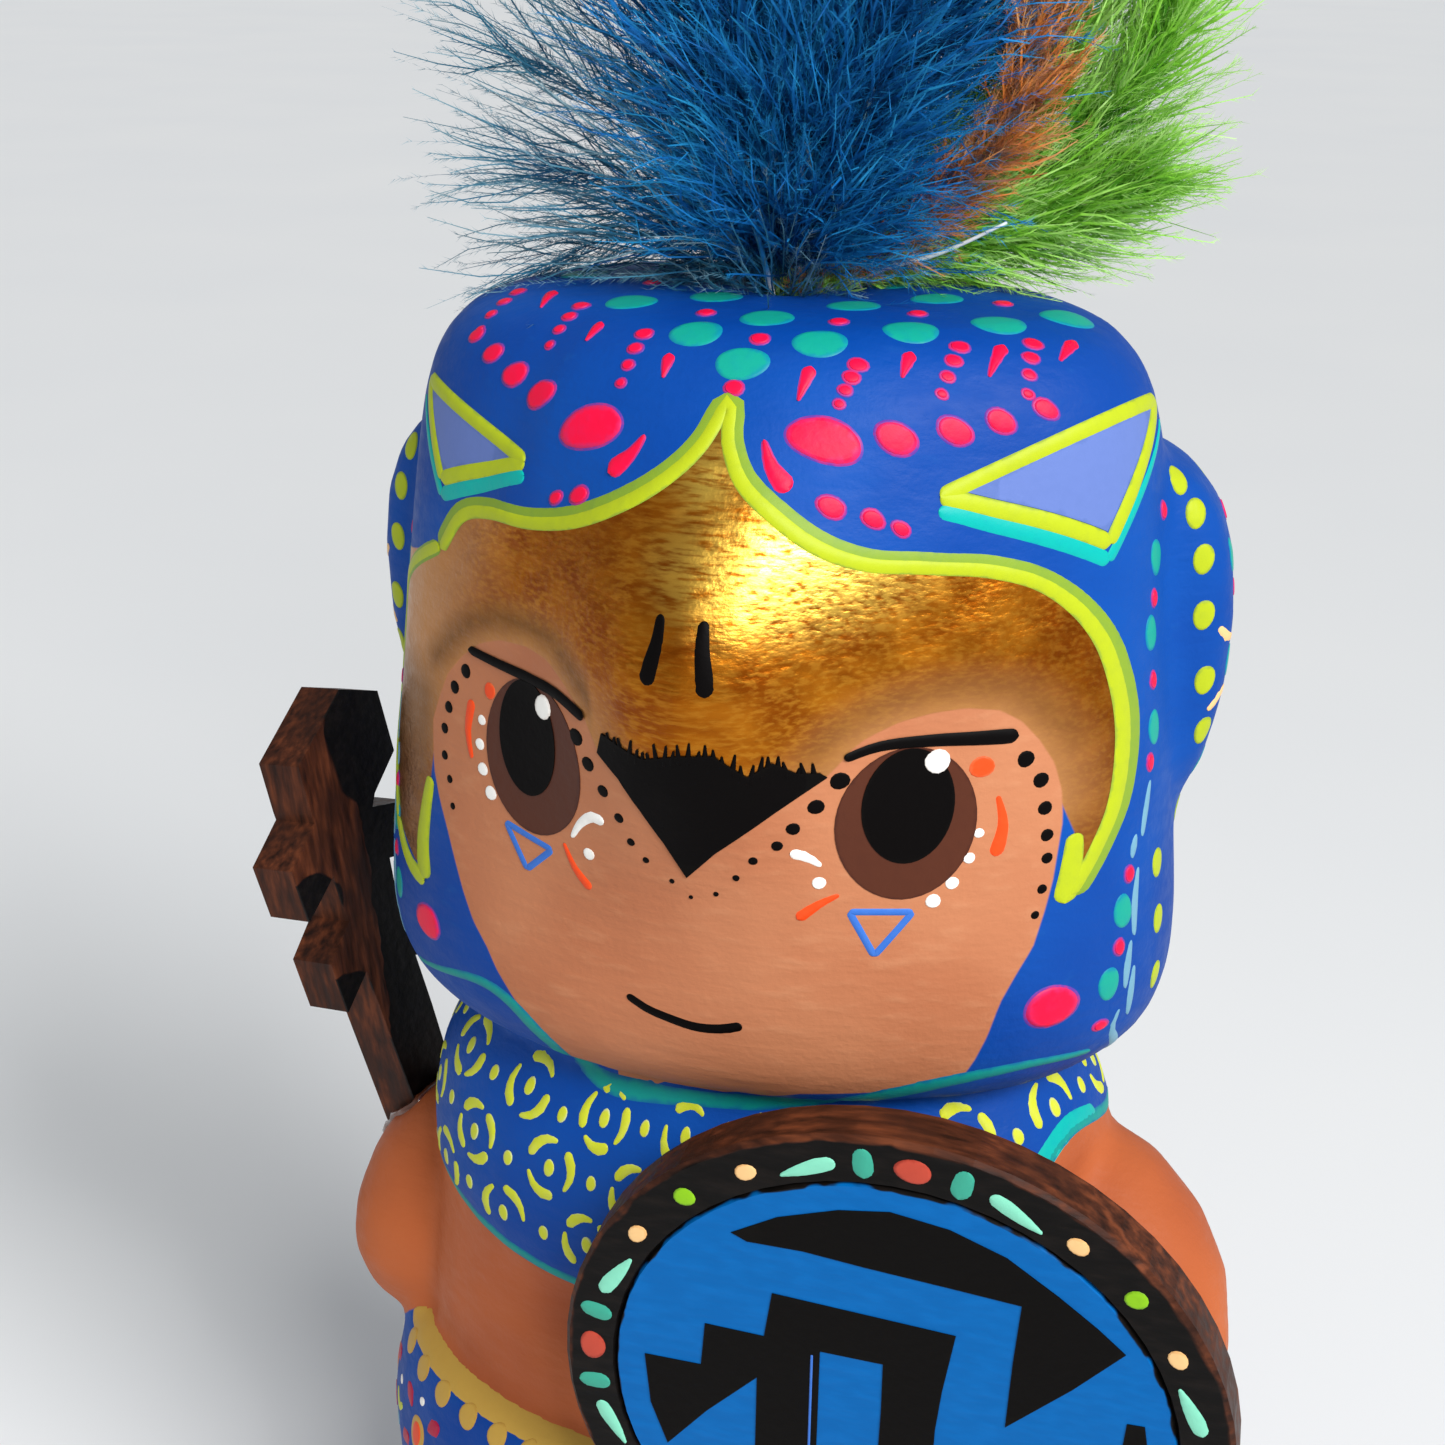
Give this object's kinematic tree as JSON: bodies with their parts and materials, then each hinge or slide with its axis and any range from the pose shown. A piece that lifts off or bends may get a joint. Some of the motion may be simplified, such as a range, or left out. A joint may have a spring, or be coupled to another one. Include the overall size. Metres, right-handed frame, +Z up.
{
  "type": "painted clay warrior figurine",
  "caption": "Stocky clay eagle-warrior figurine on a low base, with square helmeted head, toothed wooden club, round painted shield and a feather plume.",
  "frame": {"origin": "middle of the flat underside of the base, below the middle of the figure's head", "axes": "+Z up; the figure faces -Y; its left hand, with the shield, is at +X"},
  "size_m": [0.1285, 0.0826, 0.2769],
  "materials": {
    "painted_clay": "low-fired clay, hand-painted in matt acrylics with a metallic gold brow, thinly varnished",
    "shield_wood": "thin board stained dark brown, its face painted black and blue",
    "club_wood": "thin board stained dark brown, with black painted teeth",
    "blue_feathers": "dyed down feathers",
    "green_feathers": "dyed down feathers"
  },
  "bodies": {
    "root": {"clay_figure": "painted_clay", "shield": "shield_wood", "club": "club_wood", "plume_blue": "blue_feathers", "plume_green": "green_feathers"}
  },
  "joints": []
}
